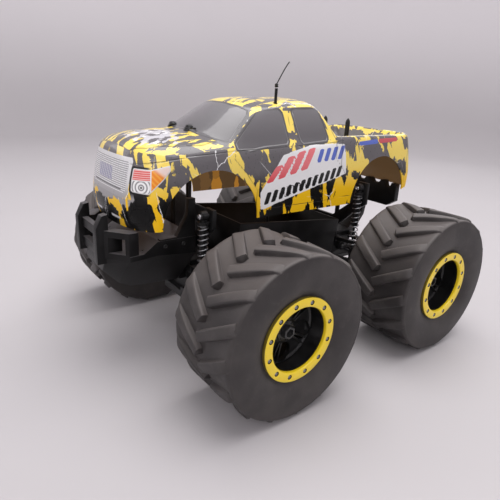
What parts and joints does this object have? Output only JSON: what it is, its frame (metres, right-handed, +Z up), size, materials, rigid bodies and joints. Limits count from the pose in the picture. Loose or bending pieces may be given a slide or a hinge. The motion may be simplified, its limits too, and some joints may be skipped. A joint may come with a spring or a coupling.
{
  "type": "radio controlled monster truck",
  "caption": "Radio-controlled monster truck: pickup body shell on an open chassis with sprung wishbones, coil-over shocks, steered front hubs and big chevron-tread tyres on beadlock rims",
  "frame": {"origin": "on the ground under the centre of the truck's bounding box", "axes": "+Z up; the truck faces -Y, its left side is +X"},
  "size_m": [0.377, 0.4324, 0.3163],
  "materials": {
    "tyre_rubber": "matt black tyre rubber",
    "black_nylon": "satin black moulded nylon",
    "rim_black": "satin black moulded rim",
    "ring_yellow": "yellow moulded beadlock ring",
    "shell_yellow": "glossy formed shell, yellow with black splinter stripes",
    "spring_steel": "bright spring wire",
    "shaft_steel": "turned steel shafts",
    "motor_can": "bare motor can",
    "battery_wrap": "blue battery shrink wrap",
    "switch_red": "red switch slider"
  },
  "bodies": {
    "chassis": {"body_shell": "shell_yellow", "chassis_tub": "black_nylon", "front_bumper": "black_nylon", "front_bulkhead": "black_nylon", "rear_bulkhead": "black_nylon", "drive_motor": "motor_can", "battery_pack": "battery_wrap", "receiver_box": "black_nylon", "steering_servo": "black_nylon", "antenna_tube": "black_nylon", "antenna_whip": "black_nylon", "front_left_shock_body": "black_nylon", "front_left_spring": "spring_steel", "front_right_shock_body": "black_nylon", "front_right_spring": "spring_steel", "rear_left_shock_body": "black_nylon", "rear_left_spring": "spring_steel", "rear_right_shock_body": "black_nylon", "rear_right_spring": "spring_steel"},
    "front_left_lower_arm": {"front_left_lower_arm": "black_nylon"},
    "front_left_upper_arm": {"front_left_upper_arm": "black_nylon"},
    "front_left_shock_rod": {"front_left_shock_rod": "black_nylon"},
    "front_left_drive_shaft": {"front_left_drive_shaft": "shaft_steel"},
    "front_left_hub_carrier": {"front_left_hub_carrier": "black_nylon"},
    "front_left_wheel": {"front_left_tyre": "tyre_rubber", "front_left_rim": "rim_black", "front_left_beadlock_ring": "ring_yellow"},
    "front_left_knuckle": {"front_left_knuckle": "black_nylon"},
    "front_right_lower_arm": {"front_right_lower_arm": "black_nylon"},
    "front_right_upper_arm": {"front_right_upper_arm": "black_nylon"},
    "front_right_shock_rod": {"front_right_shock_rod": "black_nylon"},
    "front_right_drive_shaft": {"front_right_drive_shaft": "shaft_steel"},
    "front_right_hub_carrier": {"front_right_hub_carrier": "black_nylon"},
    "front_right_wheel": {"front_right_tyre": "tyre_rubber", "front_right_rim": "rim_black", "front_right_beadlock_ring": "ring_yellow"},
    "front_right_knuckle": {"front_right_knuckle": "black_nylon"},
    "rear_left_lower_arm": {"rear_left_lower_arm": "black_nylon"},
    "rear_left_upper_arm": {"rear_left_upper_arm": "black_nylon"},
    "rear_left_shock_rod": {"rear_left_shock_rod": "black_nylon"},
    "rear_left_drive_shaft": {"rear_left_drive_shaft": "shaft_steel"},
    "rear_left_upright": {"rear_left_upright": "black_nylon"},
    "rear_left_wheel": {"rear_left_tyre": "tyre_rubber", "rear_left_rim": "rim_black", "rear_left_beadlock_ring": "ring_yellow"},
    "rear_right_lower_arm": {"rear_right_lower_arm": "black_nylon"},
    "rear_right_upper_arm": {"rear_right_upper_arm": "black_nylon"},
    "rear_right_shock_rod": {"rear_right_shock_rod": "black_nylon"},
    "rear_right_drive_shaft": {"rear_right_drive_shaft": "shaft_steel"},
    "rear_right_upright": {"rear_right_upright": "black_nylon"},
    "rear_right_wheel": {"rear_right_tyre": "tyre_rubber", "rear_right_rim": "rim_black", "rear_right_beadlock_ring": "ring_yellow"},
    "tie_rod_left": {"tie_rod_left": "shaft_steel"},
    "tie_rod_right": {"tie_rod_right": "shaft_steel"},
    "steering_link": {"steering_link": "black_nylon"},
    "servo_horn": {"servo_horn": "black_nylon"},
    "centre_shaft": {"centre_shaft": "shaft_steel"},
    "battery_door": {"battery_door": "black_nylon"},
    "power_switch": {"power_switch": "switch_red"}
  },
  "joints": [
    {"name": "front_left_suspension", "type": "hinge", "parent": "chassis", "child": "front_left_lower_arm", "pos_m": [0.026, -0.0941, 0.071], "axis": [0, -1, 0], "range_deg": [0, 20], "stiffness_Nm_per_rad": 1.5, "springref_deg": -22.92},
    {"name": "front_left_upper_arm_swing", "type": "hinge", "parent": "chassis", "child": "front_left_upper_arm", "pos_m": [0.026, -0.0941, 0.097], "axis": [0, -1, 0], "range_deg": [-0.5, 20.5]},
    {"name": "front_left_carrier_tilt", "type": "hinge", "parent": "front_left_lower_arm", "child": "front_left_hub_carrier", "pos_m": [0.08, -0.0941, 0.071], "axis": [0, -1, 0], "range_deg": [-20.5, 0.5]},
    {"name": "front_left_drive_shaft_tilt", "type": "hinge", "parent": "chassis", "child": "front_left_drive_shaft", "pos_m": [0.026, -0.0941, 0.0825], "axis": [0, -1, 0], "range_deg": [-0.5, 20.5]},
    {"name": "front_left_shock_travel", "type": "slide", "parent": "chassis", "child": "front_left_shock_rod", "axis": [0, 0, 1], "range_m": [-0.0003, 0.014], "deforming": ["front_left_spring"]},
    {"name": "front_left_steer", "type": "hinge", "parent": "front_left_hub_carrier", "child": "front_left_knuckle", "pos_m": [0.091, -0.0941, 0.0825], "axis": [0, 0, 1], "range_deg": [-23, 23]},
    {"name": "front_left_wheel_spin", "type": "hinge", "parent": "front_left_knuckle", "child": "front_left_wheel", "pos_m": [0.1445, -0.0941, 0.0825], "axis": [1, 0, 0], "continuous": true},
    {"name": "front_right_suspension", "type": "hinge", "parent": "chassis", "child": "front_right_lower_arm", "pos_m": [-0.026, -0.0941, 0.071], "axis": [0, 1, 0], "range_deg": [0, 20], "stiffness_Nm_per_rad": 1.5, "springref_deg": -22.92},
    {"name": "front_right_upper_arm_swing", "type": "hinge", "parent": "chassis", "child": "front_right_upper_arm", "pos_m": [-0.026, -0.0941, 0.097], "axis": [0, 1, 0], "range_deg": [-0.5, 20.5]},
    {"name": "front_right_carrier_tilt", "type": "hinge", "parent": "front_right_lower_arm", "child": "front_right_hub_carrier", "pos_m": [-0.08, -0.0941, 0.071], "axis": [0, 1, 0], "range_deg": [-20.5, 0.5]},
    {"name": "front_right_drive_shaft_tilt", "type": "hinge", "parent": "chassis", "child": "front_right_drive_shaft", "pos_m": [-0.026, -0.0941, 0.0825], "axis": [0, 1, 0], "range_deg": [-0.5, 20.5]},
    {"name": "front_right_shock_travel", "type": "slide", "parent": "chassis", "child": "front_right_shock_rod", "axis": [0, 0, 1], "range_m": [-0.0003, 0.014], "deforming": ["front_right_spring"]},
    {"name": "front_right_steer", "type": "hinge", "parent": "front_right_hub_carrier", "child": "front_right_knuckle", "pos_m": [-0.091, -0.0941, 0.0825], "axis": [0, 0, 1], "range_deg": [-23.5, 23.5]},
    {"name": "front_right_wheel_spin", "type": "hinge", "parent": "front_right_knuckle", "child": "front_right_wheel", "pos_m": [-0.1445, -0.0941, 0.0825], "axis": [1, 0, 0], "continuous": true},
    {"name": "rear_left_suspension", "type": "hinge", "parent": "chassis", "child": "rear_left_lower_arm", "pos_m": [0.026, 0.1337, 0.071], "axis": [0, -1, 0], "range_deg": [0, 20], "stiffness_Nm_per_rad": 1.5, "springref_deg": -22.92},
    {"name": "rear_left_upper_arm_swing", "type": "hinge", "parent": "chassis", "child": "rear_left_upper_arm", "pos_m": [0.026, 0.1337, 0.097], "axis": [0, -1, 0], "range_deg": [-0.5, 20.5]},
    {"name": "rear_left_carrier_tilt", "type": "hinge", "parent": "rear_left_lower_arm", "child": "rear_left_upright", "pos_m": [0.08, 0.1337, 0.071], "axis": [0, -1, 0], "range_deg": [-20.5, 0.5]},
    {"name": "rear_left_drive_shaft_tilt", "type": "hinge", "parent": "chassis", "child": "rear_left_drive_shaft", "pos_m": [0.026, 0.1337, 0.0825], "axis": [0, -1, 0], "range_deg": [-0.5, 20.5]},
    {"name": "rear_left_shock_travel", "type": "slide", "parent": "chassis", "child": "rear_left_shock_rod", "axis": [0, 0, 1], "range_m": [-0.0003, 0.014], "deforming": ["rear_left_spring"]},
    {"name": "rear_left_wheel_spin", "type": "hinge", "parent": "rear_left_upright", "child": "rear_left_wheel", "pos_m": [0.1445, 0.1337, 0.0825], "axis": [1, 0, 0], "continuous": true},
    {"name": "rear_right_suspension", "type": "hinge", "parent": "chassis", "child": "rear_right_lower_arm", "pos_m": [-0.026, 0.1337, 0.071], "axis": [0, 1, 0], "range_deg": [0, 20], "stiffness_Nm_per_rad": 1.5, "springref_deg": -22.92},
    {"name": "rear_right_upper_arm_swing", "type": "hinge", "parent": "chassis", "child": "rear_right_upper_arm", "pos_m": [-0.026, 0.1337, 0.097], "axis": [0, 1, 0], "range_deg": [-0.5, 20.5]},
    {"name": "rear_right_carrier_tilt", "type": "hinge", "parent": "rear_right_lower_arm", "child": "rear_right_upright", "pos_m": [-0.08, 0.1337, 0.071], "axis": [0, 1, 0], "range_deg": [-20.5, 0.5]},
    {"name": "rear_right_drive_shaft_tilt", "type": "hinge", "parent": "chassis", "child": "rear_right_drive_shaft", "pos_m": [-0.026, 0.1337, 0.0825], "axis": [0, 1, 0], "range_deg": [-0.5, 20.5]},
    {"name": "rear_right_shock_travel", "type": "slide", "parent": "chassis", "child": "rear_right_shock_rod", "axis": [0, 0, 1], "range_m": [-0.0003, 0.014], "deforming": ["rear_right_spring"]},
    {"name": "rear_right_wheel_spin", "type": "hinge", "parent": "rear_right_upright", "child": "rear_right_wheel", "pos_m": [-0.1445, 0.1337, 0.0825], "axis": [1, 0, 0], "continuous": true},
    {"name": "tie_rod_left_tilt", "type": "hinge", "parent": "steering_link", "child": "tie_rod_left", "pos_m": [0.033, -0.0701, 0.0945], "axis": [0, -1, 0], "range_deg": [-0.5, 20.5]},
    {"name": "tie_rod_right_tilt", "type": "hinge", "parent": "steering_link", "child": "tie_rod_right", "pos_m": [-0.033, -0.0701, 0.0945], "axis": [0, 1, 0], "range_deg": [-0.5, 20.5]},
    {"name": "steering_link_travel", "type": "slide", "parent": "chassis", "child": "steering_link", "axis": [1, 0, 0], "range_m": [-0.01, 0.01]},
    {"name": "servo_horn_turn", "type": "hinge", "parent": "chassis", "child": "servo_horn", "pos_m": [0, -0.0521, 0.097], "axis": [0, 0, 1], "range_deg": [-33, 33]},
    {"name": "centre_shaft_spin", "type": "hinge", "parent": "chassis", "child": "centre_shaft", "pos_m": [0, 0.0198, 0.074], "axis": [0, 1, 0], "continuous": true},
    {"name": "battery_door_swing", "type": "hinge", "parent": "chassis", "child": "battery_door", "pos_m": [-0.0395, 0.0198, 0.0624], "axis": [0, 1, 0], "range_deg": [0, 75]},
    {"name": "power_switch_slide", "type": "slide", "parent": "chassis", "child": "power_switch", "axis": [0, 1, 0], "range_m": [0, 0.004]}
  ],
  "couplings": [
    {"joint": "front_left_upper_arm_swing", "follows": "front_left_suspension", "ratio": 1},
    {"joint": "front_left_carrier_tilt", "follows": "front_left_suspension", "ratio": -1},
    {"joint": "front_left_drive_shaft_tilt", "follows": "front_left_suspension", "ratio": 1},
    {"joint": "front_left_shock_travel", "follows": "front_left_suspension", "m_per_rad": 0.0393},
    {"joint": "front_right_upper_arm_swing", "follows": "front_right_suspension", "ratio": 1},
    {"joint": "front_right_carrier_tilt", "follows": "front_right_suspension", "ratio": -1},
    {"joint": "front_right_drive_shaft_tilt", "follows": "front_right_suspension", "ratio": 1},
    {"joint": "front_right_shock_travel", "follows": "front_right_suspension", "m_per_rad": 0.0393},
    {"joint": "front_right_steer", "follows": "front_left_steer", "ratio": 1},
    {"joint": "rear_left_upper_arm_swing", "follows": "rear_left_suspension", "ratio": 1},
    {"joint": "rear_left_carrier_tilt", "follows": "rear_left_suspension", "ratio": -1},
    {"joint": "rear_left_drive_shaft_tilt", "follows": "rear_left_suspension", "ratio": 1},
    {"joint": "rear_left_shock_travel", "follows": "rear_left_suspension", "m_per_rad": 0.0393},
    {"joint": "rear_right_upper_arm_swing", "follows": "rear_right_suspension", "ratio": 1},
    {"joint": "rear_right_carrier_tilt", "follows": "rear_right_suspension", "ratio": -1},
    {"joint": "rear_right_drive_shaft_tilt", "follows": "rear_right_suspension", "ratio": 1},
    {"joint": "rear_right_shock_travel", "follows": "rear_right_suspension", "m_per_rad": 0.0393},
    {"joint": "tie_rod_left_tilt", "follows": "front_left_suspension", "ratio": 1},
    {"joint": "tie_rod_right_tilt", "follows": "front_right_suspension", "ratio": 1},
    {"joint": "steering_link_travel", "follows": "front_left_steer", "m_per_rad": -0.0236},
    {"joint": "servo_horn_turn", "follows": "front_left_steer", "ratio": -1.4}
  ]
}
